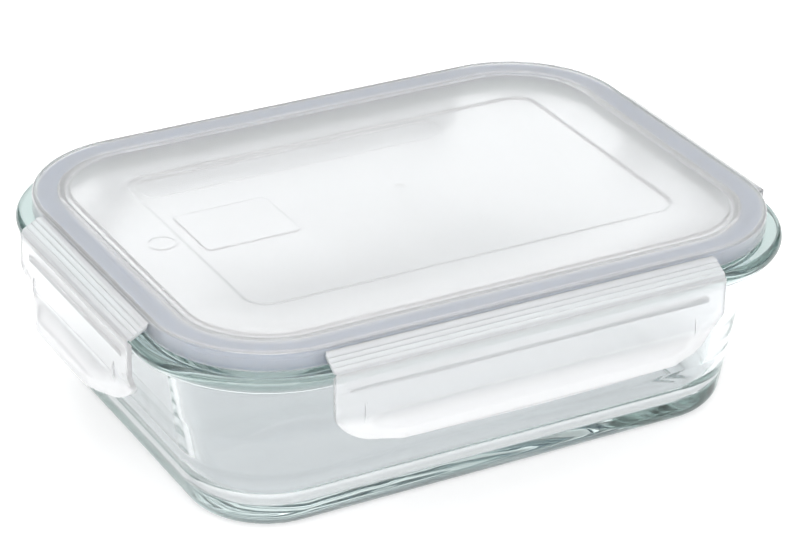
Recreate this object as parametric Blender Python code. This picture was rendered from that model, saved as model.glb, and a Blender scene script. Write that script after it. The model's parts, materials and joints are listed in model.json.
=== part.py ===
"""Snap lid food container: a pressed glass dish, a moulded plastic lid with four snap flaps, and its gasket.

Metres, +Z up, origin on the table under the middle of the dish. +X runs along the long side.
The container is modelled closed, with every flap hanging down and hooked under the glass rim.

Most sections are given as (offset, height) pairs. An offset is measured outward from the lid's outline, a
rectangle with round corners, so the dish, the lid and the gasket are all one outline grown or shrunk.
"""

import math

import bmesh
import bpy

# --- driving dimensions (metres) ---
LID_LENGTH = 0.198
LID_WIDTH = 0.147
LID_CORNER = 0.036
LID_TOP = 0.064
CORNER_STEPS = 8
FIT_GAP = 0.0003

# glass dish
RIM_REACH = 0.005
RIM_TOP = 0.0576
RIM_THICKNESS = 0.0047
WALL_TOP_OFFSET = -0.0035
WALL_BOTTOM_OFFSET = -0.0115
FOOT_RADIUS = 0.007
FLOOR_HEIGHT = 0.005
FLOOR_RADIUS = 0.012
MOUTH_OFFSET = -0.0071
MOUTH_RADIUS = 0.0012
WALL_SPAN = 0.050
FOOT_RING_OFFSET = -0.024
FOOT_HOLLOW = 0.0004
# where the wall turns out under the rim: outward steps from the wall's top offset, with heights
NECK = ((-0.0002, 0.0485), (0.0007, 0.0515), (0.003, RIM_TOP - RIM_THICKNESS))

# lid plate
SKIRT_BOTTOM = RIM_TOP + FIT_GAP
SKIRT_WALL = 0.0016
LID_EDGE_RADIUS = 0.0014
CHANNEL_CEILING = 0.0626
PLUG_BOTTOM = 0.0546
PLUG_OUTER = -0.0077
PLUG_INNER = -0.0099
PLUG_TAPER = 0.0009
BAND_INNER = -0.0086
GROOVE_INNER = -0.0115
GROOVE_FLOOR = 0.0631
GROOVE_DRAFT = 0.0009
PANEL_TOP = 0.0637
PANEL_UNDERSIDE = 0.0619
FIELD_OFFSET = -0.028
FIELD_STEP = 0.0012
FIELD_FLOOR = 0.0631
# the slot and the pad in the recessed field: low and high corners of each, and how far their sides slope
SLOT_LOW = (-0.067, 0.0315)
SLOT_HIGH = (0.034, 0.0425)
SLOT_FLOOR = 0.0628
SLOT_FLARE = 0.002
PAD_LOW = (-0.066, -0.0075)
PAD_HIGH = (-0.036, 0.0165)
PAD_TOP = 0.0634
PAD_ROOT = 0.0625
PAD_FLARE = -0.0008

# gasket
RIB_HEIGHT = 0.0012
RIB_WIDTH = 0.0014
RIB_GROOVE_HALF = 0.0008

# hinges and flaps: offsets from the lid's outline and heights of the two film hinges
UPPER_HINGE = (0.0003, 0.0622)
LOWER_HINGE = (0.0067, 0.0586)
HINGE_SETBACK = 0.0003
STRIP_THICKNESS = 0.0011
STRIP_BEVEL = 0.0006
PLATE_INNER = 0.0055
PLATE_OUTER = 0.0069
PLATE_TOP_ZONE = 0.001
FLAP_BOTTOM = 0.036
FLAP_BOW = 0.001
FLAP_CORNER_X = 0.011
FLAP_CORNER_Z = 0.0125
# the lip flares out along the middle of a flap, and the flap's lower corners tuck in towards the glass
LIP_FLARE = 0.0037
FLARE_ROWS = (0.0430, 0.0384)
FLARE_COLUMNS = (0.007, 0.021)
CORNER_TUCK = 0.0030
TUCK_ROWS = (0.0480, 0.0385)
TUCK_COLUMNS = (0.0, 0.011)
CUT_ROWS = (0.0480, 0.0455, 0.0430, 0.0415, 0.0400, 0.0384)
CUT_COLUMNS = (0.0025, 0.0050, 0.0075, 0.0100, 0.0130, 0.0170, 0.0210)
HOOK_SETBACK = 0.005
HOOK_ROOT = PLATE_INNER + 0.0004
HOOK_SECTION = (
    (HOOK_ROOT, 0.0500),
    (0.0037, 0.0510),
    (0.0034, 0.0519),
    (0.0037, 0.0524),
    (0.0043, 0.0528),
    (HOOK_ROOT, 0.0528),
)
LONG_FLAP_HALF = 0.0635
SHORT_FLAP_HALF = 0.0375

# each side's outward turn about Z, the distance from the middle to the lid's edge, and the flap's half length
SIDES = {
    "front": (math.pi, LID_WIDTH / 2, LONG_FLAP_HALF),
    "back": (0.0, LID_WIDTH / 2, LONG_FLAP_HALF),
    "left": (math.pi / 2, LID_LENGTH / 2, SHORT_FLAP_HALF),
    "right": (-math.pi / 2, LID_LENGTH / 2, SHORT_FLAP_HALF),
}


def clear_scene():
    for obj in list(bpy.data.objects):
        bpy.data.objects.remove(obj, do_unlink=True)


def make_material(name, colour, roughness, transmission, ior):
    material = bpy.data.materials.new(name)
    material.use_nodes = True
    shader = material.node_tree.nodes["Principled BSDF"]
    shader.inputs["Base Color"].default_value = (*colour, 1.0)
    shader.inputs["Roughness"].default_value = roughness
    shader.inputs["Metallic"].default_value = 0.0
    shader.inputs["Transmission Weight"].default_value = transmission
    shader.inputs["IOR"].default_value = ior
    material.diffuse_color = (*colour, 1.0)
    return material


def add_object(name, bm, material):
    """Turn a bmesh into a smooth-shaded object with outward faces."""
    bmesh.ops.remove_doubles(bm, verts=bm.verts, dist=0.000001)
    bmesh.ops.recalc_face_normals(bm, faces=bm.faces)
    mesh = bpy.data.meshes.new(name)
    bm.to_mesh(mesh)
    bm.free()
    mesh.materials.append(material)
    mesh.shade_smooth()
    mesh.set_sharp_from_angle(angle=math.radians(35))
    obj = bpy.data.objects.new(name, mesh)
    bpy.context.scene.collection.objects.link(obj)
    return obj


def arc(centre, radius, start, end, steps):
    """Points of an arc in a plane, angles in degrees."""
    turns = [math.radians(start + (end - start) * i / steps) for i in range(steps + 1)]
    return [(centre[0] + radius * math.cos(t), centre[1] + radius * math.sin(t)) for t in turns]


def outline(offset):
    """The lid's outline grown by an offset, counter-clockwise from above."""
    corner_x = LID_LENGTH / 2 - LID_CORNER
    corner_y = LID_WIDTH / 2 - LID_CORNER
    points = []
    for turn, (sx, sy) in enumerate(((1, 1), (-1, 1), (-1, -1), (1, -1))):
        centre = (sx * corner_x, sy * corner_y)
        points += arc(centre, LID_CORNER + offset, 90 * turn, 90 * turn + 90, CORNER_STEPS)
    return points


def loft(section, closed):
    """A bmesh through one outline loop per (offset, height) point: a closed ring, or a body with two caps."""
    bm = bmesh.new()
    loops = [[bm.verts.new((x, y, z)) for x, y in outline(offset)] for offset, z in section]
    pairs = list(zip(loops, loops[1:]))
    if closed:
        pairs.append((loops[-1], loops[0]))
    for lower, upper in pairs:
        for i in range(len(lower)):
            j = (i + 1) % len(lower)
            bm.faces.new((lower[i], lower[j], upper[j], upper[i]))
    if not closed:
        bm.faces.new(loops[0])
        bm.faces.new(loops[-1])
    return bm


def prism(polygon, half_length):
    """A bar along X whose section is a polygon of (y, z) points."""
    bm = bmesh.new()
    ends = [[bm.verts.new((x, y, z)) for y, z in polygon] for x in (-half_length, half_length)]
    bm.faces.new(ends[0])
    bm.faces.new(ends[1])
    for i in range(len(polygon)):
        j = (i + 1) % len(polygon)
        bm.faces.new((ends[0][i], ends[0][j], ends[1][j], ends[1][i]))
    return bm


def add_boolean(target, tool, operation):
    """Cut or join a helper shape, which stays in the file as a hidden wire guide."""
    tool.hide_render = True
    tool.display_type = "WIRE"
    modifier = target.modifiers.new(tool.name, "BOOLEAN")
    modifier.operation = operation
    modifier.solver = "EXACT"
    modifier.object = tool


def build_dish(material):
    """The glass dish: foot ring, tapered wall, rounded flange and rolled mouth, in one closed section."""
    rim_radius = RIM_THICKNESS / 2
    rim_centre = (RIM_REACH - rim_radius, RIM_TOP - rim_radius)
    wall_slope = (WALL_TOP_OFFSET - WALL_BOTTOM_OFFSET) / WALL_SPAN
    foot_centre = (WALL_BOTTOM_OFFSET + wall_slope * FOOT_RADIUS - FOOT_RADIUS, FOOT_RADIUS)
    mouth_centre = (MOUTH_OFFSET + MOUTH_RADIUS, RIM_TOP - MOUTH_RADIUS)
    inner_foot_z = FLOOR_HEIGHT + FLOOR_RADIUS
    inner_foot = (MOUTH_OFFSET - wall_slope * (mouth_centre[1] - inner_foot_z), inner_foot_z)
    floor_centre = (inner_foot[0] - FLOOR_RADIUS, inner_foot[1])
    section = [(FOOT_RING_OFFSET - 5 * FOOT_HOLLOW, FOOT_HOLLOW), (FOOT_RING_OFFSET, 0.0)]
    section += arc(foot_centre, FOOT_RADIUS, -90, -9, 5)
    section += [(WALL_TOP_OFFSET + step, z) for step, z in NECK]
    section += arc(rim_centre, rim_radius, -90, 90, 8)
    section += arc(mouth_centre, MOUTH_RADIUS, 90, 180, 3)
    section += arc(floor_centre, FLOOR_RADIUS, 9, -90, 5)
    return add_object("glass_base", loft(section, closed=False), material)


def build_lid_plate(material):
    """The lid plate: skirt, gasket channel, plug wall, top groove and shallow recessed field."""
    edge_centre = (-LID_EDGE_RADIUS, LID_TOP - LID_EDGE_RADIUS)
    section = [
        (PLUG_INNER, PANEL_UNDERSIDE),
        (PLUG_INNER, PLUG_BOTTOM),
        (PLUG_OUTER - PLUG_TAPER, PLUG_BOTTOM),
        (PLUG_OUTER, SKIRT_BOTTOM),
        (PLUG_OUTER, CHANNEL_CEILING),
        (-SKIRT_WALL, CHANNEL_CEILING),
        (-SKIRT_WALL, SKIRT_BOTTOM),
        (0.0, SKIRT_BOTTOM),
    ]
    section += arc(edge_centre, LID_EDGE_RADIUS, 0, 90, 3)
    section += [
        (BAND_INNER, LID_TOP),
        (BAND_INNER - GROOVE_DRAFT, GROOVE_FLOOR),
        (GROOVE_INNER + GROOVE_DRAFT, GROOVE_FLOOR),
        (GROOVE_INNER, PANEL_TOP),
        (FIELD_OFFSET, PANEL_TOP),
        (FIELD_OFFSET - FIELD_STEP, FIELD_FLOOR),
    ]
    lid = add_object("lid_panel", loft(section, closed=False), material)
    add_boolean(lid, build_grip_slot(material), "DIFFERENCE")
    add_boolean(lid, build_label_pad(material), "UNION")
    return lid


def tapered_block(name, material, low, high, flare, bottom, top):
    """A block from corner low to corner high, its top face grown by a flare on every side."""
    bm = bmesh.new()
    loops = []
    for grow, z in ((0.0, bottom), (flare, top)):
        x0, y0 = low[0] - grow, low[1] - grow
        x1, y1 = high[0] + grow, high[1] + grow
        loops.append([bm.verts.new((x, y, z)) for x, y in ((x0, y0), (x1, y0), (x1, y1), (x0, y1))])
    bm.faces.new(loops[0])
    bm.faces.new(loops[1])
    for i in range(4):
        j = (i + 1) % 4
        bm.faces.new((loops[0][i], loops[0][j], loops[1][j], loops[1][i]))
    return add_object(name, bm, material)


def build_grip_slot(material):
    """Cutter for the long slot along the back of the recessed field."""
    return tapered_block("grip_slot_guide", material, SLOT_LOW, SLOT_HIGH, SLOT_FLARE, SLOT_FLOOR, LID_TOP)


def build_label_pad(material):
    """The plain raised pad at the left of the recessed field."""
    return tapered_block("label_pad_guide", material, PAD_LOW, PAD_HIGH, PAD_FLARE, PAD_ROOT, PAD_TOP)


def build_gasket(material):
    """The silicone ring in the lid's channel: a body with two soft ribs that press on the glass."""
    outer = -SKIRT_WALL - FIT_GAP
    inner = PLUG_OUTER + FIT_GAP
    top = CHANNEL_CEILING - FIT_GAP
    bottom = RIM_TOP + FIT_GAP
    groove = bottom + RIB_HEIGHT
    middle = (outer + inner) / 2
    section = [
        (outer, bottom),
        (outer, top),
        (inner, top),
        (inner, bottom),
        (inner + RIB_WIDTH, bottom),
        (middle - RIB_GROOVE_HALF, groove),
        (middle + RIB_GROOVE_HALF, groove),
        (outer - RIB_WIDTH, bottom),
    ]
    return add_object("gasket", loft(section, closed=True), material)


def place_on_side(obj, side, hinge):
    """Put a piece, made around its hinge with +Y outward, on one side of the lid."""
    turn, distance, _ = SIDES[side]
    reach = distance + hinge[0]
    obj.rotation_euler = (0.0, 0.0, turn)
    obj.location = (-math.sin(turn) * reach, math.cos(turn) * reach, hinge[1])


def build_hinge_strip(side, material):
    """The strip between the two film hinges, made around the upper one."""
    span_y = LOWER_HINGE[0] - UPPER_HINGE[0]
    span_z = LOWER_HINGE[1] - UPPER_HINGE[1]
    length = math.hypot(span_y, span_z)
    along = (span_y / length, span_z / length)
    across = (along[1], -along[0])
    near = HINGE_SETBACK
    far = length - HINGE_SETBACK

    def at(distance, depth):
        return (along[0] * distance + across[0] * depth, along[1] * distance + across[1] * depth)

    polygon = [at(near, 0.0), at(far, 0.0), at(far, STRIP_THICKNESS), at(near + STRIP_BEVEL, STRIP_THICKNESS)]
    strip = add_object(f"{side}_hinge_strip", prism(polygon, SIDES[side][2]), material)
    place_on_side(strip, side, UPPER_HINGE)
    return strip


def flap_outline(half_length):
    """Front view of a flap as (x, z) points about its hinge, with large round corners and a bowed edge."""
    top = -HINGE_SETBACK
    bottom = FLAP_BOTTOM - LOWER_HINGE[1]
    right = [(half_length, top)]
    for x, z in arc((0.0, 0.0), 1.0, 0, -90, 6):
        right.append((half_length - FLAP_CORNER_X * (1 - x), bottom + FLAP_CORNER_Z * (1 + z)))
    right.append(((half_length - FLAP_CORNER_X) * 0.5, bottom - FLAP_BOW * 0.75))
    left = [(-x, z) for x, z in reversed(right)]
    return right + [(0.0, bottom - FLAP_BOW)] + left


def ease(value, limits):
    """A soft step from 0 at the first limit to 1 at the second."""
    t = min(max((value - limits[0]) / (limits[1] - limits[0]), 0.0), 1.0)
    return t * t * (3 - 2 * t)


def flap_reach(inset, height):
    """How far the flap bends out of its plate, at an inset from its end and a height above the table."""
    flare = LIP_FLARE * ease(height, FLARE_ROWS) * ease(inset, FLARE_COLUMNS)
    tuck = CORNER_TUCK * ease(height, TUCK_ROWS) * (1 - ease(inset, TUCK_COLUMNS))
    return flare - tuck


def cut_grid(bm, half_length):
    """Cut a flap's flat outline into rows and columns, so that it can bend."""
    cuts = [((0.0, 0.0, row - LOWER_HINGE[1]), (0.0, 0.0, 1.0)) for row in CUT_ROWS]
    for column in CUT_COLUMNS:
        cuts += [((sign * (half_length - column), 0.0, 0.0), (1.0, 0.0, 0.0)) for sign in (-1, 1)]
    for point, normal in cuts:
        geometry = bm.verts[:] + bm.edges[:] + bm.faces[:]
        bmesh.ops.bisect_plane(bm, geom=geometry, plane_co=point, plane_no=normal, dist=0.000001)


def build_flap(side, material):
    """A flap hanging from its lower hinge, with the rib that hooks under the glass rim."""
    half_length = SIDES[side][2]
    bm = bmesh.new()
    bm.faces.new([bm.verts.new((x, 0.0, z)) for x, z in flap_outline(half_length)])
    cut_grid(bm, half_length)
    inner = PLATE_INNER - LOWER_HINGE[0]
    outer = PLATE_OUTER - LOWER_HINGE[0]
    grown = bmesh.ops.extrude_face_region(bm, geom=bm.faces[:], use_keep_orig=True)
    front = {item for item in grown["geom"] if isinstance(item, bmesh.types.BMVert)}
    for vert in bm.verts:
        reach = flap_reach(half_length - abs(vert.co.x), vert.co.z + LOWER_HINGE[1])
        vert.co.y = (outer if vert in front else inner) + reach
        if vert not in front and vert.co.z > -PLATE_TOP_ZONE:
            vert.co.z -= PLATE_OUTER - PLATE_INNER
    flap = add_object(f"{side}_flap", bm, material)
    place_on_side(flap, side, LOWER_HINGE)
    hook = build_hook(side, half_length - HOOK_SETBACK, material)
    add_boolean(flap, hook, "UNION")
    return flap


def build_hook(side, half_length, material):
    """The rib inside a flap, made around the same hinge as its flap."""
    polygon = [(y - LOWER_HINGE[0], z - LOWER_HINGE[1]) for y, z in HOOK_SECTION]
    hook = add_object(f"{side}_hook_guide", prism(polygon, half_length), material)
    place_on_side(hook, side, LOWER_HINGE)
    return hook


def main():
    clear_scene()
    glass = make_material("clear_glass", (0.86, 0.93, 0.90), 0.03, 1.0, 1.47)
    plastic = make_material("frosted_polypropylene", (0.91, 0.92, 0.93), 0.40, 0.5, 1.49)
    silicone = make_material("blue_grey_silicone", (0.52, 0.60, 0.70), 0.55, 0.0, 1.41)
    build_dish(glass)
    build_lid_plate(plastic)
    build_gasket(silicone)
    for side in SIDES:
        build_hinge_strip(side, plastic)
        build_flap(side, plastic)


main()
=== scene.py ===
"""Looks for the snap lid food container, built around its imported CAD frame.

The glass dish, the lid, the gasket, the hinge strips and the flaps are each replaced by a finer mesh in the
same place, and the film hinges between them are added. Sections are (offset, height) pairs in millimetres: an
offset is measured outward from the lid's outline, and a height is above the table.
"""

import json
import math

import bmesh
import bpy
from mathutils import Matrix, Vector
from mathutils.geometry import delaunay_2d_cdt


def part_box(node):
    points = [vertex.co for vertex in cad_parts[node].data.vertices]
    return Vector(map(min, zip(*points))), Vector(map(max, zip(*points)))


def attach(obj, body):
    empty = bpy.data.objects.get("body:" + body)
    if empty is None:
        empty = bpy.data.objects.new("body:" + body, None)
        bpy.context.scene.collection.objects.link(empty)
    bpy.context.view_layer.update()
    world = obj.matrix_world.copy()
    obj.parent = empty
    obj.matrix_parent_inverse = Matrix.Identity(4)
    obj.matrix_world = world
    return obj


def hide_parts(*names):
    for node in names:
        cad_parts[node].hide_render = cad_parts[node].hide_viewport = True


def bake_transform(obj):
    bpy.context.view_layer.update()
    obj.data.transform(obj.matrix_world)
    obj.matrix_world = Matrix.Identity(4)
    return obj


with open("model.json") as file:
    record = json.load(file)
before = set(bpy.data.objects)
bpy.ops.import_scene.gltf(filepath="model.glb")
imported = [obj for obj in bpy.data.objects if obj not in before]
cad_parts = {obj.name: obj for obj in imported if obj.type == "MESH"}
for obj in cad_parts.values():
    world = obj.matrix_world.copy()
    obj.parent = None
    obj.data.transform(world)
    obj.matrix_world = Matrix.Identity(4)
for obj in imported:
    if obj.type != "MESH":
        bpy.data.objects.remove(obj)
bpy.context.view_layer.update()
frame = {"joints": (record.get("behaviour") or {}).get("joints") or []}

MM = 0.001
LID_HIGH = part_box("lid_panel")[1]
DISH_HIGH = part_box("glass_base")[1]
HALF_X = LID_HIGH.x / MM
HALF_Y = LID_HIGH.y / MM
LID_TOP = LID_HIGH.z / MM
RIM_TOP = DISH_HIGH.z / MM
RIM_REACH = (DISH_HIGH.x - LID_HIGH.x) / MM

LID_CORNER = 36.0
CORNER_STEPS = 32
STRAIGHT_STOPS = (0.008, 0.12, 0.3, 0.5, 0.7, 0.88, 0.992)
SUPPORT = 0.35
FILM_THICKNESS = 0.3

# each side's outward turn about Z, with the distance from the middle to the lid's edge
SIDES = {
    "front": (math.pi, HALF_Y),
    "back": (0.0, HALF_Y),
    "left": (math.pi / 2, HALF_X),
    "right": (-math.pi / 2, HALF_X),
}


# ---------------------------------------------------------------- mesh helpers


def arc(centre, radius, start, end, steps):
    """Points of an arc in a plane, angles in degrees."""
    turns = [math.radians(start + (end - start) * i / steps) for i in range(steps + 1)]
    return [(centre[0] + radius * math.cos(t), centre[1] + radius * math.sin(t)) for t in turns]


def outline(offset):
    """The lid's outline grown by an offset, counter-clockwise, with extra points along each straight side."""
    corner_x = HALF_X - LID_CORNER
    corner_y = HALF_Y - LID_CORNER
    signs = ((1, 1), (-1, 1), (-1, -1), (1, -1))
    corners = [
        arc((sx * corner_x, sy * corner_y), LID_CORNER + offset, 90 * turn, 90 * turn + 90, CORNER_STEPS)
        for turn, (sx, sy) in enumerate(signs)
    ]
    points = []
    for corner, following in zip(corners, corners[1:] + corners[:1]):
        points += corner
        start, end = Vector(corner[-1]), Vector(following[0])
        points += [tuple(start.lerp(end, stop)) for stop in STRAIGHT_STOPS]
    return points


def rounded_rectangle(low, high, radius, steps=8):
    """A rectangle between two corners, with round corners, counter-clockwise."""
    x0, y0 = low[0] + radius, low[1] + radius
    x1, y1 = high[0] - radius, high[1] - radius
    points = []
    for turn, centre in enumerate(((x1, y1), (x0, y1), (x0, y0), (x1, y0))):
        points += arc(centre, radius, 90 * turn, 90 * turn + 90, steps)
    return points


def supported(section, closed=False):
    """A section with extra points beside each corner, so that smooth shading leaves its flat parts flat."""
    result = []
    count = len(section) if closed else len(section) - 1
    for i in range(count):
        start, end = Vector(section[i]), Vector(section[(i + 1) % len(section)])
        result.append(tuple(start))
        length = (end - start).length
        if length > 3 * SUPPORT:
            result.append(tuple(start.lerp(end, SUPPORT / length)))
            result.append(tuple(end.lerp(start, SUPPORT / length)))
    if not closed:
        result.append(section[-1])
    return result


def bridge(bm, lower, upper):
    """Faces between two closed loops with the same number of points."""
    for i in range(len(lower)):
        j = (i + 1) % len(lower)
        bm.faces.new((lower[i], lower[j], upper[j], upper[i]))


def loft(section, closed):
    """A bmesh through one outline loop per section point, and its loops."""
    bm = bmesh.new()
    loops = [[bm.verts.new((x, y, z)) for x, y in outline(offset)] for offset, z in section]
    for lower, upper in zip(loops, loops[1:]):
        bridge(bm, lower, upper)
    if closed:
        bridge(bm, loops[-1], loops[0])
    return bm, loops


def add_mesh(name, bm, material, sharp=35):
    """Turn a bmesh in millimetres into an object in metres, smooth-shaded between its sharp edges."""
    bmesh.ops.scale(bm, vec=(MM, MM, MM), verts=bm.verts)
    bmesh.ops.recalc_face_normals(bm, faces=bm.faces)
    mesh = bpy.data.meshes.new(name)
    bm.to_mesh(mesh)
    bm.free()
    mesh.materials.append(material)
    mesh.shade_smooth()
    mesh.set_sharp_from_angle(angle=math.radians(sharp))
    obj = bpy.data.objects.new(name, mesh)
    bpy.context.scene.collection.objects.link(obj)
    return obj


def move_to_side(bm, side):
    """Take a piece drawn with X along a side and Y as its offset outward from the lid to its place."""
    turn, distance = SIDES[side]
    place = Matrix.Rotation(turn, 4, "Z") @ Matrix.Translation((0.0, distance, 0.0))
    bmesh.ops.transform(bm, matrix=place, verts=bm.verts)


def apply_modifiers(obj):
    """Bake an object's modifiers into its mesh."""
    bpy.context.view_layer.update()
    evaluated = obj.evaluated_get(bpy.context.evaluated_depsgraph_get())
    mesh = bpy.data.meshes.new_from_object(evaluated)
    obj.modifiers.clear()
    old = obj.data
    obj.data = mesh
    bpy.data.meshes.remove(old)


# ---------------------------------------------------------------- materials

# most of a noise texture's values lie between these two
NOISE_LOW = 0.3
NOISE_HIGH = 0.7

# heights in millimetres between which the glass turns dark green, the rim's own green darkened with painted
# shade from the lid above, and the flaps turn from milky to clear
RIM_GREEN_AND_SHADE_HEIGHTS = (53.6, 55.6)
LIP_HEIGHTS = (40.0, 44.0)
PANE_TINT = (0.905, 0.927, 0.938)
# the rim's colour: the green of heavy glass, made darker with painted shade where the lid's skirt and gasket
# shade the ledge
RIM_GREEN_AND_PAINTED_SHADE = (0.31, 0.42, 0.40)
ABSORPTION_COLOUR = (0.50, 0.84, 0.76)
ABSORPTION_DENSITY = 2.5
FROSTED = (0.985, 0.985, 0.99)
CLEAR = (0.985, 0.99, 1.0)
RIBBED = (0.975, 0.985, 1.0)
CLOUD_DARKENING = 0.985
CLOUD_ROUGHNESS = 0.015
SILICONE_DARK = (0.16, 0.31, 0.53)
SILICONE_LIGHT = (0.19, 0.34, 0.57)


def new_material(name):
    """A material, its nodes, its links and its shader."""
    material = bpy.data.materials.new(name)
    material.use_nodes = True
    nodes = material.node_tree.nodes
    return material, nodes, material.node_tree.links, nodes["Principled BSDF"]


def noise(nodes, scale, detail):
    """A noise texture with about this many waves to the metre."""
    node = nodes.new("ShaderNodeTexNoise")
    node.inputs["Scale"].default_value = scale
    node.inputs["Detail"].default_value = detail
    return node


def object_coordinates(nodes, links, *textures):
    """Give textures the piece's own coordinates, so that they move with it."""
    coordinates = nodes.new("ShaderNodeTexCoord")
    for texture in textures:
        links.new(coordinates.outputs["Object"], texture.inputs["Vector"])


def spread(nodes, links, texture, low, high):
    """A value socket that spreads a noise texture over a range."""
    node = nodes.new("ShaderNodeMapRange")
    node.inputs["From Min"].default_value = NOISE_LOW
    node.inputs["From Max"].default_value = NOISE_HIGH
    node.inputs["To Min"].default_value = low
    node.inputs["To Max"].default_value = high
    links.new(texture.outputs["Fac"], node.inputs["Value"])
    return node.outputs["Result"]


def height_ramp(nodes, links, low, high):
    """A node that goes from 0 to 1 between two heights of the piece at rest, in millimetres."""
    coordinates = nodes.new("ShaderNodeTexCoord")
    split = nodes.new("ShaderNodeSeparateXYZ")
    links.new(coordinates.outputs["Object"], split.inputs["Vector"])
    node = nodes.new("ShaderNodeMapRange")
    node.interpolation_type = "SMOOTHSTEP"
    node.inputs["From Min"].default_value = low * MM
    node.inputs["From Max"].default_value = high * MM
    links.new(split.outputs["Z"], node.inputs["Value"])
    return node


def mix_colours(nodes, links, factor, first, second):
    """A colour socket that goes from the first colour to the second."""
    node = nodes.new("ShaderNodeMix")
    node.data_type = "RGBA"
    node.inputs["A"].default_value = (*first, 1.0)
    node.inputs["B"].default_value = (*second, 1.0)
    links.new(factor, node.inputs["Factor"])
    return node.outputs["Result"]


def add_bump(nodes, links, shader, texture, distance, strength):
    """Bump a shader by a noise texture, given a distance in metres and a strength."""
    node = nodes.new("ShaderNodeBump")
    node.inputs["Distance"].default_value = distance
    node.inputs["Strength"].default_value = strength
    links.new(texture.outputs["Fac"], node.inputs["Height"])
    links.new(node.outputs["Normal"], shader.inputs["Normal"])


def glass_material():
    """Pressed glass: clear, green where the rim's glass is deepest, darkened there with painted shade from
    the lid above, with slow ripples from the mould.
    """
    material, nodes, links, shader = new_material("pressed_glass")
    # the rim is tinted by height: partly the glass's own green, partly painted shade under the lid
    rim_green_and_shade = height_ramp(nodes, links, *RIM_GREEN_AND_SHADE_HEIGHTS).outputs["Result"]
    tint = mix_colours(nodes, links, rim_green_and_shade, PANE_TINT, RIM_GREEN_AND_PAINTED_SHADE)
    links.new(tint, shader.inputs["Base Color"])
    shader.inputs["Transmission Weight"].default_value = 1.0
    shader.inputs["IOR"].default_value = 1.48
    ripple = noise(nodes, 55.0, 1.0)
    haze = noise(nodes, 400.0, 3.0)
    object_coordinates(nodes, links, ripple, haze)
    links.new(spread(nodes, links, haze, 0.0, 0.02), shader.inputs["Roughness"])
    add_bump(nodes, links, shader, ripple, distance=0.00018, strength=0.5)
    absorb = nodes.new("ShaderNodeVolumeAbsorption")
    absorb.inputs["Color"].default_value = (*ABSORPTION_COLOUR, 1.0)
    absorb.inputs["Density"].default_value = ABSORPTION_DENSITY
    links.new(absorb.outputs["Volume"], nodes["Material Output"].inputs["Volume"])
    return material


def plastic_material(name, colour, transmission, roughness, lip=None):
    """Polypropylene with a soft grain and faint flow clouds. A flap's milky lip has its own transmission."""
    material, nodes, links, shader = new_material(name)
    shader.inputs["Transmission Weight"].default_value = transmission
    if lip is not None:
        node = height_ramp(nodes, links, *LIP_HEIGHTS)
        node.inputs["To Min"].default_value = lip
        node.inputs["To Max"].default_value = transmission
        links.new(node.outputs["Result"], shader.inputs["Transmission Weight"])
    shader.inputs["IOR"].default_value = 1.49
    grain = noise(nodes, 420.0, 2.0)
    cloud = noise(nodes, 30.0, 2.0)
    object_coordinates(nodes, links, grain, cloud)
    flow = spread(nodes, links, cloud, 0.0, 1.0)
    tint = mix_colours(nodes, links, flow, [part * CLOUD_DARKENING for part in colour], colour)
    links.new(tint, shader.inputs["Base Color"])
    low, high = roughness - CLOUD_ROUGHNESS, roughness + CLOUD_ROUGHNESS
    links.new(spread(nodes, links, cloud, low, high), shader.inputs["Roughness"])
    add_bump(nodes, links, shader, grain, distance=0.00001, strength=0.08)
    return material


def silicone_material():
    """Matt blue-grey silicone with a fine speckle."""
    material, nodes, links, shader = new_material("blue_grey_silicone")
    shader.inputs["IOR"].default_value = 1.41
    shader.inputs["Sheen Weight"].default_value = 0.15
    speckle = noise(nodes, 900.0, 4.0)
    object_coordinates(nodes, links, speckle)
    mottle = spread(nodes, links, speckle, 0.0, 1.0)
    tint = mix_colours(nodes, links, mottle, SILICONE_DARK, SILICONE_LIGHT)
    links.new(tint, shader.inputs["Base Color"])
    links.new(spread(nodes, links, speckle, 0.45, 0.6), shader.inputs["Roughness"])
    add_bump(nodes, links, shader, speckle, distance=0.00005, strength=0.3)
    return material


# ---------------------------------------------------------------- glass dish

RIM_RADIUS = 2.35
MOUTH_OFFSET = -7.1
MOUTH_RADIUS = 1.2
FOOT_RADIUS = 7.0
FOOT_OFFSET = -17.4
FLOOR_HEIGHT = 5.0
FLOOR_RADIUS = 12.0
FLOOR_OFFSET = -25.4
# (offset, height) points: the foot's hollow, the outside of the wall, the neck under the rim, and the inside
FOOT_HOLLOW = [(-26.0, 0.4), (-24.6, 0.15), (-24.0, 0.0)]
WALL_OUTSIDE = [(-8.3, 20.0), (-6.4, 32.0), (-4.6, 43.0), (-3.8, 47.6)]
NECK = [(-3.45, 49.4), (-3.0, 50.8), (-2.2, 51.9), (-1.2, 52.6), (-0.4, 52.85)]
WALL_INSIDE = [(-7.3, 55.0), (-9.0, 44.7), (-11.2, 31.0)]


def build_dish(material):
    """The dish: foot ring, tapered wall, neck, full round rim, rolled mouth and round inner floor corner."""
    section = FOOT_HOLLOW + arc((FOOT_OFFSET, FOOT_RADIUS), FOOT_RADIUS, -90, -9, 14)
    section += WALL_OUTSIDE + NECK
    section += arc((RIM_REACH - RIM_RADIUS, RIM_TOP - RIM_RADIUS), RIM_RADIUS, -90, 90, 20)
    section += arc((MOUTH_OFFSET + MOUTH_RADIUS, RIM_TOP - MOUTH_RADIUS), MOUTH_RADIUS, 90, 180, 8)
    section += WALL_INSIDE
    section += arc((FLOOR_OFFSET, FLOOR_HEIGHT + FLOOR_RADIUS), FLOOR_RADIUS, 9, -90, 24)
    bm, loops = loft(supported(section), closed=False)
    bm.faces.new(list(reversed(loops[0])))
    bm.faces.new(loops[-1])
    return add_mesh("dish_glass", bm, material, sharp=60)


# ---------------------------------------------------------------- lid

EDGE_RADIUS = 1.4
PANEL_TOP = 63.7
FIELD_TOP = 63.35
SLOT_FLOOR = 63.1
PAD_TOP = 63.6
BOSS_HEIGHT = 0.2
GATE_DEPTH = 0.2
FIELD_OFFSET = -28.0
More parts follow.
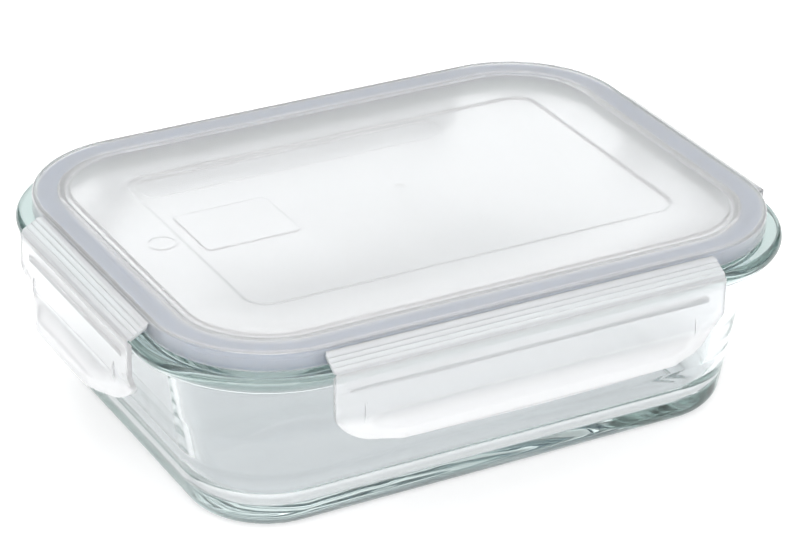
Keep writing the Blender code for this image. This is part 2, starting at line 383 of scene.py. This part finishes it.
# low and high corners of the slot and the pad with their corner radii, and the boss and gate mark with radii
SLOT = ((-68.0, 30.4), (35.0, 43.0), 4.5)
PAD = ((-67.0, -8.0), (-36.0, 17.0), 2.0)
BOSS = ((-76.6, 2.0), 4.5)
GATE = ((3.0, 5.0), 1.6)
# how wide each relief step is
FIELD_STEP = 1.4
SLOT_STEP = 0.9
PAD_STEP = 0.6
BOSS_STEP = 0.8
GATE_STEP = 0.5
# (offset, height) points: the plug, the gasket channel with the skirt, and the band with its groove
PLUG = [(-9.9, 61.9), (-9.9, 54.9), (-9.6, 54.6), (-8.8, 54.6), (-8.5, 54.9), (-7.7, 57.9), (-7.7, 62.6)]
SKIRT = [(-1.6, 62.6), (-1.6, 58.1), (-1.4, 57.9), (-0.25, 57.9), (0.0, 58.15)]
BAND = [(-8.3, LID_TOP), (-8.6, 63.9), (-9.3, 63.3), (-9.6, 63.12), (-10.6, 63.1), (-10.9, 63.2)]
BAND += [(-11.3, 63.6), (-11.6, PANEL_TOP)]


def relief_step(shape, start_z, end_z, width):
    """Loops of a soft step between two heights: shape(inset) gives the step's outline at an inset."""
    # shares of the step's width and of its height
    fractions = ((-0.3, 0.0), (0.0, 0.03), (0.25, 0.2), (0.5, 0.5), (0.75, 0.8), (1.0, 0.97), (1.3, 1.0))
    return [(shape(width * t), start_z + (end_z - start_z) * part) for t, part in fractions]


def shrunk_rectangle(low, high, radius):
    """A function of an inset that gives a round-cornered rectangle, smaller by that inset on every side."""
    def at(inset):
        corners = [(low[0] + inset, low[1] + inset), (high[0] - inset, high[1] - inset)]
        return rounded_rectangle(*corners, radius - inset)
    return at


def shrunk_circle(centre, radius, points):
    """A function of an inset that gives a circle, smaller by that inset."""
    return lambda inset: arc(centre, radius - inset, 0, 360 - 360 / points, points - 1)


def fill_relief(bm, edge_loop, features):
    """Fill a flat panel inside an edge loop with triangles through closed feature loops of given heights."""
    verts = list(edge_loop)
    points = [Vector((v.co.x, v.co.y)) for v in edge_loop]
    edges = [(i, (i + 1) % len(points)) for i in range(len(points))]
    for loop, z in features:
        start = len(points)
        for i, (x, y) in enumerate(loop):
            points.append(Vector((x, y)))
            verts.append(bm.verts.new((x, y, z)))
            edges.append((start + i, start + (i + 1) % len(loop)))
    out = delaunay_2d_cdt(points, edges, [], 1, 1e-5)
    source = [origin[0] for origin in out[3]]
    for face in out[2]:
        corners = [verts[source[i]] for i in face]
        if len(set(corners)) == 3:
            bm.faces.new(corners)


def build_lid(material):
    """The lid plate: plug, gasket channel, skirt, rounded edge, top band, groove and relief of the panel."""
    section = PLUG + SKIRT + arc((-EDGE_RADIUS, LID_TOP - EDGE_RADIUS), EDGE_RADIUS, 0, 90, 10) + BAND
    bm, loops = loft(supported(section), closed=False)
    bm.faces.new(list(reversed(loops[0])))
    features = relief_step(lambda inset: outline(FIELD_OFFSET - inset), PANEL_TOP, FIELD_TOP, FIELD_STEP)
    features += relief_step(shrunk_rectangle(*SLOT), FIELD_TOP, SLOT_FLOOR, SLOT_STEP)
    features += relief_step(shrunk_rectangle(*PAD), FIELD_TOP, PAD_TOP, PAD_STEP)
    features += relief_step(shrunk_circle(*GATE, 24), FIELD_TOP, FIELD_TOP - GATE_DEPTH, GATE_STEP)
    features += relief_step(shrunk_circle(*BOSS, 32), PANEL_TOP, PANEL_TOP + BOSS_HEIGHT, BOSS_STEP)
    fill_relief(bm, loops[-1], features)
    return add_mesh("lid_plate", bm, material)


GASKET_OUTER = -1.9
GASKET_INNER = -7.4
GASKET_TOP = 62.3
GASKET_BOTTOM = 57.9
GASKET_RIBS = 4
# (offset, height) points of the outer side with its groove, and of the hollow between the two lips
GASKET_SIDE = [(GASKET_OUTER, GASKET_BOTTOM), (-1.9, 60.8), (-2.15, 61.0), (-2.15, 61.3), (-1.9, 61.5)]
GASKET_HOLLOW = [(-6.0, GASKET_BOTTOM), (-5.4, 59.1), (-3.9, 59.1), (-3.3, GASKET_BOTTOM)]
# the groove between two ribs, as distances out from a rib's edge and down from the top
GASKET_GROOVE = [(0.45, 0.0), (0.3, 0.5), (0.1, 0.5), (0.0, 0.0)]


def build_gasket(material):
    """The silicone ring: two lips that press on the glass, ribs on its top and a groove in its outer side."""
    pitch = (GASKET_OUTER - GASKET_INNER) / GASKET_RIBS
    section = GASKET_SIDE + [(GASKET_OUTER, GASKET_TOP)]
    for i in range(1, GASKET_RIBS):
        edge = GASKET_OUTER - i * pitch
        section += [(edge + out, GASKET_TOP - down) for out, down in GASKET_GROOVE]
    section += [(GASKET_INNER + GASKET_GROOVE[0][0], GASKET_TOP), (GASKET_INNER, GASKET_BOTTOM)]
    bm, _ = loft(supported(section + GASKET_HOLLOW, closed=True), closed=True)
    return add_mesh("gasket_ring", bm, material)


# ---------------------------------------------------------------- hinge strips, films and flaps


def read_hinges():
    """Each film hinge's (offset, height) on its side, from the frame's joints."""
    hinges = {}
    for joint in frame["joints"]:
        if joint["type"] == "hinge":
            side, part = joint["name"].split("_")[:2]
            x, y, z = (value / MM for value in joint["pos_m"])
            hinges[side, part] = (max(abs(x), abs(y)) - SIDES[side][1], z)
    return hinges


HINGES = read_hinges()
TINY = 1e-6


def extrude_profile(profile, half_length, rounding):
    """A bar along X with a closed (offset, height) profile, its ends rounded by shrinking the profile."""
    middle = sum((Vector(p) for p in profile), Vector((0.0, 0.0))) / len(profile)
    near = 0.3 * rounding
    stations = [(-half_length, rounding), (-half_length + near, near), (-half_length + rounding, 0.0)]
    stations += [(-x, shrink) for x, shrink in reversed(stations)]
    bm = bmesh.new()
    loops = []
    for x, shrink in stations:
        loop = []
        for point in profile:
            away = Vector(point) - middle
            y, z = middle + away * (1 - shrink / max(away.length, shrink + TINY))
            loop.append(bm.verts.new((x, y, z)))
        loops.append(loop)
    for lower, upper in zip(loops, loops[1:]):
        bridge(bm, lower, upper)
    bm.faces.new(loops[0])
    bm.faces.new(loops[-1])
    return bm


def half_length_of(side):
    """Half the length of a side's flap and strip, in millimetres."""
    low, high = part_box(f"{side}_flap")
    return max(high.x - low.x, high.y - low.y) / 2 / MM


def strip_frame(side):
    """Upper hinge, unit direction down the strip, unit direction into it, and its length."""
    upper, lower = Vector(HINGES[side, "strip"]), Vector(HINGES[side, "flap"])
    along = (lower - upper).normalized()
    return upper, along, Vector((along.y, -along.x)), (lower - upper).length


STRIP_RIBS = 4
STRIP_GAP = 0.35
STRIP_THICKNESS = 1.1
STRIP_CHAMFER = 0.2
STRIP_BACK_START = 0.8
STRIP_ROUNDING = 0.3
RIB_DEPTH = 0.26
# a rib's rounded face, as distances in from the rib's edge and down from its crest
RIB_ROUND = [(0.14, 0.08), (0.34, 0.02)]


def build_strip(side, material):
    """The ribbed strip between the two film hinges."""
    upper, along, inward, length = strip_frame(side)
    start, end = STRIP_GAP, length - STRIP_GAP
    pitch = (end - start) / STRIP_RIBS
    profile = []
    for i in range(STRIP_RIBS):
        edge = start + i * pitch
        profile.append((edge, RIB_DEPTH))
        profile += [(edge + across, down) for across, down in RIB_ROUND]
        profile.append((edge + pitch / 2, 0.0))
        profile += [(edge + pitch - across, down) for across, down in reversed(RIB_ROUND)]
    profile += [(end, RIB_DEPTH), (end, STRIP_THICKNESS - STRIP_CHAMFER)]
    profile += [(end - STRIP_CHAMFER, STRIP_THICKNESS), (start + STRIP_BACK_START, STRIP_THICKNESS)]
    points = [tuple(upper + along * s + inward * d) for s, d in profile]
    bm = extrude_profile(points, half_length_of(side), STRIP_ROUNDING)
    move_to_side(bm, side)
    return add_mesh(f"{side}_strip", bm, material, sharp=50)


FILM_STEPS = 8
# how far a film runs into the pieces that it joins, and the offset where an upper film starts inside the lid
FILM_OVERLAP = 0.6
FILM_START = -0.2
FILM_END_GAP = 0.4
FILM_ROUNDING = 0.1


def build_film(name, side, start, end, direction, material):
    """A thin sheet across a film hinge, from one section point to another, between two bodies."""
    start, end = Vector(start), Vector(end)
    across = Vector((direction.y, -direction.x)) * FILM_THICKNESS
    face = [start.lerp(end, i / FILM_STEPS) for i in range(FILM_STEPS + 1)]
    profile = [tuple(p) for p in face] + [tuple(p + across) for p in reversed(face)]
    bm = extrude_profile(profile, half_length_of(side) - FILM_END_GAP, FILM_ROUNDING)
    move_to_side(bm, side)
    film = add_mesh(name, bm, material)
    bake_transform(film)


FLAP_OUTER = 6.9
FLAP_THICKNESS = 1.4
FLAP_BOTTOM = 36.0
FLAP_BOW = 1.0
FLAP_CORNER_X = 11.0
FLAP_CORNER_Z = 12.5
BEAD_HEIGHT = 0.35
BEAD_INSET = 0.7
BEAD_REACH = 1.1
BEAD_ROWS = (52.0, 46.0)
EDGE_BEVEL = 0.32
# the flap's top slants: its inner side starts lower, as far as the plate is thick
SLANT_ZONE = 1.0
# heights and insets at which a flap is cut, so that it can bend
GRID_ROWS = [48.6 - 0.4 * i for i in range(34)] + [50.0, 52.0, 54.0, 56.0]
GRID_INSETS = [1.0 * i for i in range(1, 23)]
# the lip flares out along the middle of a flap, and the flap's lower corners tuck in towards the glass
LIP_FLARE = 3.7
FLARE_ROWS = (43.0, 38.4)
FLARE_COLUMNS = (7.0, 21.0)
CORNER_TUCK = 3.0
TUCK_ROWS = (48.0, 38.5)
TUCK_COLUMNS = (0.0, 11.0)
RIDGE_INSET = 9.5
RIDGE_TOP = 47.6
RIDGE_BOTTOM = 41.0
RIDGE_HEIGHT = 0.45
RIDGE_STEPS = 8
RIDGE_RUN_OUT = 2
RIDGE_DEPTH = 0.6
RIDGE_HALF_WIDTH = 0.4
RIDGE_ROUNDING = 0.12
HOOK = [(5.9, 50.8), (3.7, 51.6), (3.4, 52.0), (3.6, 52.4), (4.3, 52.7), (5.9, 52.7)]
HOOK_INSET = 5.0
HOOK_ROUNDING = 0.8


def flap_outline(half_length, top):
    """Front view of a flap as (x, height) points, with large round lower corners and a bowed lower edge."""
    flat = half_length - FLAP_CORNER_X
    right = [(half_length, top)]
    for x, z in arc((0.0, 0.0), 1.0, 0, -90, 24):
        right.append((half_length - FLAP_CORNER_X * (1 - x), FLAP_BOTTOM + FLAP_CORNER_Z * (1 + z)))
    right += [(flat * t, FLAP_BOTTOM - FLAP_BOW * (1 - t * t)) for t in (0.85, 0.7, 0.55, 0.4, 0.25, 0.1)]
    return right + [(-x, z) for x, z in reversed(right)]


def ease(value, limits):
    """A soft step from 0 at the first limit to 1 at the second."""
    t = min(max((value - limits[0]) / (limits[1] - limits[0]), 0.0), 1.0)
    return t * t * (3 - 2 * t)


def flap_reach(inset, height):
    """How far the flap bends out of its plate, at an inset from its end and a height above the table."""
    flare = LIP_FLARE * ease(height, FLARE_ROWS) * ease(inset, FLARE_COLUMNS)
    tuck = CORNER_TUCK * ease(height, TUCK_ROWS) * (1 - ease(inset, TUCK_COLUMNS))
    return flare - tuck


def cut_grid(bm, half_length, top):
    """Cut a flap's flat outline into rows and columns."""
    columns = [half_length - inset for inset in GRID_INSETS]
    cuts = [((0, 0, row), (0, 0, 1)) for row in GRID_ROWS if row < top]
    cuts += [((sign * column, 0, 0), (1, 0, 0)) for column in columns for sign in (-1, 1)]
    for point, normal in cuts:
        geometry = bm.verts[:] + bm.edges[:] + bm.faces[:]
        bmesh.ops.bisect_plane(bm, geom=geometry, plane_co=point, plane_no=normal, dist=1e-5)


def union(target, bm, name, material):
    """Join a helper solid to a piece and drop the helper."""
    helper = add_mesh(name, bm, material)
    modifier = target.modifiers.new(name, "BOOLEAN")
    modifier.operation = "UNION"
    modifier.solver = "EXACT"
    modifier.object = helper
    apply_modifiers(target)
    bpy.data.objects.remove(helper, do_unlink=True)


def build_ridge(x):
    """A slim upright rib on the outside of a flap, where the flared lip begins."""
    steps = range(RIDGE_STEPS + 1)
    heights = [RIDGE_TOP + (RIDGE_BOTTOM - RIDGE_TOP) * i / RIDGE_STEPS for i in steps]
    face = [(FLAP_OUTER + flap_reach(RIDGE_INSET, z), z) for z in heights]
    lifts = [RIDGE_HEIGHT * min(i, RIDGE_STEPS - i, RIDGE_RUN_OUT) / RIDGE_RUN_OUT for i in steps]
    profile = [(y + lift, z) for (y, z), lift in zip(face, lifts)]
    profile += [(y - RIDGE_DEPTH, z) for y, z in reversed(face)]
    bm = extrude_profile(profile, RIDGE_HALF_WIDTH, RIDGE_ROUNDING)
    bmesh.ops.translate(bm, vec=(x, 0, 0), verts=bm.verts)
    return bm


def build_plate(half_length, top):
    """A flap's plate: cut into a grid, given thickness, bent, and thickened into a bead near its edge."""
    bm = bmesh.new()
    edge = flap_outline(half_length, top)
    bm.faces.new([bm.verts.new((x, 0.0, z)) for x, z in edge])
    cut_grid(bm, half_length, top)
    grown = bmesh.ops.extrude_face_region(bm, geom=bm.faces[:], use_keep_orig=True)
    front = {item for item in grown["geom"] if isinstance(item, bmesh.types.BMVert)}
    for vert in bm.verts:
        inset = half_length - abs(vert.co.x)
        from_edge = min(math.hypot(vert.co.x - x, vert.co.z - z) for x, z in edge)
        bead = BEAD_HEIGHT * max(0.0, 1 - abs(from_edge - BEAD_INSET) / BEAD_REACH)
        bend = FLAP_OUTER + flap_reach(inset, vert.co.z)
        if vert in front:
            vert.co.y = bend + bead * ease(vert.co.z, BEAD_ROWS)
        else:
            vert.co.y = bend - FLAP_THICKNESS
            if vert.co.z > top - SLANT_ZONE:
                vert.co.z -= FLAP_THICKNESS
    return bm


def build_flap(side, material):
    """A flap: plate with a flared lip, two upright ribs, and the hook under the glass rim."""
    half_length = half_length_of(side)
    plate = build_plate(half_length, HINGES[side, "flap"][1] - FILM_THICKNESS)
    move_to_side(plate, side)
    flap = add_mesh(f"{side}_flap_plate", plate, material)
    hook = extrude_profile(HOOK, half_length - HOOK_INSET, HOOK_ROUNDING)
    move_to_side(hook, side)
    union(flap, hook, f"{side}_hook", material)
    for sign in (-1, 1):
        ridge = build_ridge(sign * (half_length - RIDGE_INSET))
        move_to_side(ridge, side)
        union(flap, ridge, f"{side}_ridge", material)
    bevel = flap.modifiers.new("edge", "BEVEL")
    bevel.width = EDGE_BEVEL * MM
    bevel.segments = 3
    bevel.limit_method = "ANGLE"
    bevel.angle_limit = math.radians(50)
    apply_modifiers(flap)
    flap.data.shade_smooth()
    flap.data.set_sharp_from_angle(angle=math.radians(40))
    return flap


def build_side(side, strip_material, flap_material):
    """A side's strip and flap, each attached to its body, and its two films."""
    strip = build_strip(side, strip_material)
    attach(strip, f"{side}_strip")
    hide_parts(f"{side}_hinge_strip")
    flap = build_flap(side, flap_material)
    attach(flap, f"{side}_flap")
    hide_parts(f"{side}_flap")
    upper, along, _, length = strip_frame(side)
    build_film(
        f"{side}_upper_film", side, (FILM_START, upper.y), upper + along * FILM_OVERLAP, along,
        strip_material,
    )
    down = Vector((0.0, -1.0))
    lower = upper + along * length
    build_film(
        f"{side}_lower_film", side, lower - along * FILM_OVERLAP, lower + down * FILM_OVERLAP, down,
        strip_material,
    )


# ---------------------------------------------------------------- stage, lights and camera

FLOOR_WHITE = 0.76
FLOOR_GLOW = 0.47
FLOOR_HALF_SIZE = 6000.0
FLOOR_DROP = 0.05
# the world's brightness by the height of a direction, from 0 at and below the horizon to 1 straight up
WORLD_BELOW = 0.9
WORLD_TOP = 1.0
WORLD_RING = ((0.02, 0.50), (0.10, 0.12), (0.28, 0.14), (0.44, 0.60), (0.58, 1.0))
WORLD_TINT = (0.985, 0.995, 1.0)
# the camera looks this many degrees round from straight back, this many down, and is tilted this many
CAMERA_TURN = 29.45
CAMERA_DOWN = 27.72
CAMERA_TILT = 1.23
CAMERA_AIM = (-0.0251, -0.0486, 0.064)
CAMERA_DISTANCE = 0.9032
CAMERA_LENS = 142.57
SENSOR_WIDTH = 36.0
# light goes through many plastic and glass faces before it leaves the container
CLEAR_BOUNCES = 36
DIFFUSE_BOUNCES = 5


def build_floor():
    """A large plain white floor that glows a little, as a light table does."""
    material, _, _, shader = new_material("floor_white")
    shader.inputs["Base Color"].default_value = (FLOOR_WHITE, FLOOR_WHITE, FLOOR_WHITE, 1.0)
    shader.inputs["Roughness"].default_value = 0.9
    shader.inputs["Specular IOR Level"].default_value = 0.0
    shader.inputs["Emission Color"].default_value = (1.0, 1.0, 1.0, 1.0)
    shader.inputs["Emission Strength"].default_value = FLOOR_GLOW
    bm = bmesh.new()
    bmesh.ops.create_grid(bm, x_segments=1, y_segments=1, size=FLOOR_HALF_SIZE)
    bmesh.ops.translate(bm, vec=(0, 0, -FLOOR_DROP), verts=bm.verts)
    floor = add_mesh("floor", bm, material)


def build_world():
    """A white studio: bright overhead and below the horizon, with a dark ring low all round."""
    world = bpy.data.worlds.new("studio")
    bpy.context.scene.world = world
    world.use_nodes = True
    nodes, links = world.node_tree.nodes, world.node_tree.links
    coordinates = nodes.new("ShaderNodeTexCoord")
    split = nodes.new("ShaderNodeSeparateXYZ")
    links.new(coordinates.outputs["Generated"], split.inputs["Vector"])
    ramp = nodes.new("ShaderNodeValToRGB")
    ramp.color_ramp.elements[0].position = 0.0
    ramp.color_ramp.elements[0].color = (WORLD_BELOW, WORLD_BELOW, WORLD_BELOW, 1.0)
    ramp.color_ramp.elements[1].position = 1.0
    ramp.color_ramp.elements[1].color = (WORLD_TOP, WORLD_TOP, WORLD_TOP, 1.0)
    for position, value in WORLD_RING:
        element = ramp.color_ramp.elements.new(position)
        element.color = (*(value * part for part in WORLD_TINT), 1.0)
    links.new(split.outputs["Z"], ramp.inputs["Fac"])
    background = nodes["Background"]
    background.inputs["Strength"].default_value = 1.0
    links.new(ramp.outputs["Color"], background.inputs["Color"])


def add_area_light(name, location, target, size, power):
    """A rectangular light aimed at a target. Places and sizes are in metres, and power is in watts."""
    light = bpy.data.lights.new(name, "AREA")
    light.shape = "RECTANGLE"
    light.size, light.size_y = size
    light.energy = power
    obj = bpy.data.objects.new(name, light)
    bpy.context.scene.collection.objects.link(obj)
    obj.location = location
    direction = Vector(target) - Vector(location)
    obj.rotation_euler = direction.to_track_quat("-Z", "Y").to_euler()


def build_camera():
    """The photograph's view: a long lens from the front left, looking down."""
    turn, down, tilt = (math.radians(angle) for angle in (CAMERA_TURN, CAMERA_DOWN, CAMERA_TILT))
    look = Vector((math.sin(turn) * math.cos(down), math.cos(turn) * math.cos(down), -math.sin(down)))
    right = look.cross(Vector((0, 0, 1))).normalized()
    up = right.cross(look)
    x_axis = right * math.cos(tilt) + up * math.sin(tilt)
    y_axis = up * math.cos(tilt) - right * math.sin(tilt)
    camera = bpy.data.cameras.new("camera")
    camera.lens = CAMERA_LENS
    camera.sensor_width = SENSOR_WIDTH
    obj = bpy.data.objects.new("camera", camera)
    facing = Matrix((x_axis, y_axis, -look)).transposed().to_4x4()
    obj.matrix_world = Matrix.Translation(Vector(CAMERA_AIM) - look * CAMERA_DISTANCE) @ facing
    bpy.context.scene.collection.objects.link(obj)
    bpy.context.scene.camera = obj


def main():
    """Build every piece, then the floor, the world, the lights and the camera."""
    glass = glass_material()
    frosted = plastic_material("frosted_polypropylene", FROSTED, transmission=0.74, roughness=0.18)
    clear = plastic_material("clear_polypropylene", CLEAR, transmission=0.70, roughness=0.09, lip=0.36)
    ribbed = plastic_material("ribbed_polypropylene", RIBBED, transmission=0.56, roughness=0.16)
    silicone = silicone_material()

    dish = build_dish(glass)
    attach(dish, "base")
    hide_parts("glass_base")
    lid = build_lid(frosted)
    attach(lid, "lid")
    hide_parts("lid_panel")
    gasket = build_gasket(silicone)
    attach(gasket, "lid")
    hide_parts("gasket")
    for side in SIDES:
        build_side(side, ribbed, clear)

    build_floor()
    build_world()
    add_area_light("top_softbox", (0.1, 0.35, 1.1), target=(0, 0, 0), size=(1.2, 0.9), power=4.4)
    add_area_light("front_fill", (-0.6, -1.0, 1.0), target=(0, 0, 0.03), size=(1.2, 0.8), power=9.0)
    build_camera()

    scene = bpy.context.scene
    scene.view_settings.view_transform = "Standard"
    scene.cycles.max_bounces = CLEAR_BOUNCES
    scene.cycles.transmission_bounces = CLEAR_BOUNCES
    scene.cycles.glossy_bounces = CLEAR_BOUNCES
    scene.cycles.diffuse_bounces = DIFFUSE_BOUNCES


main()
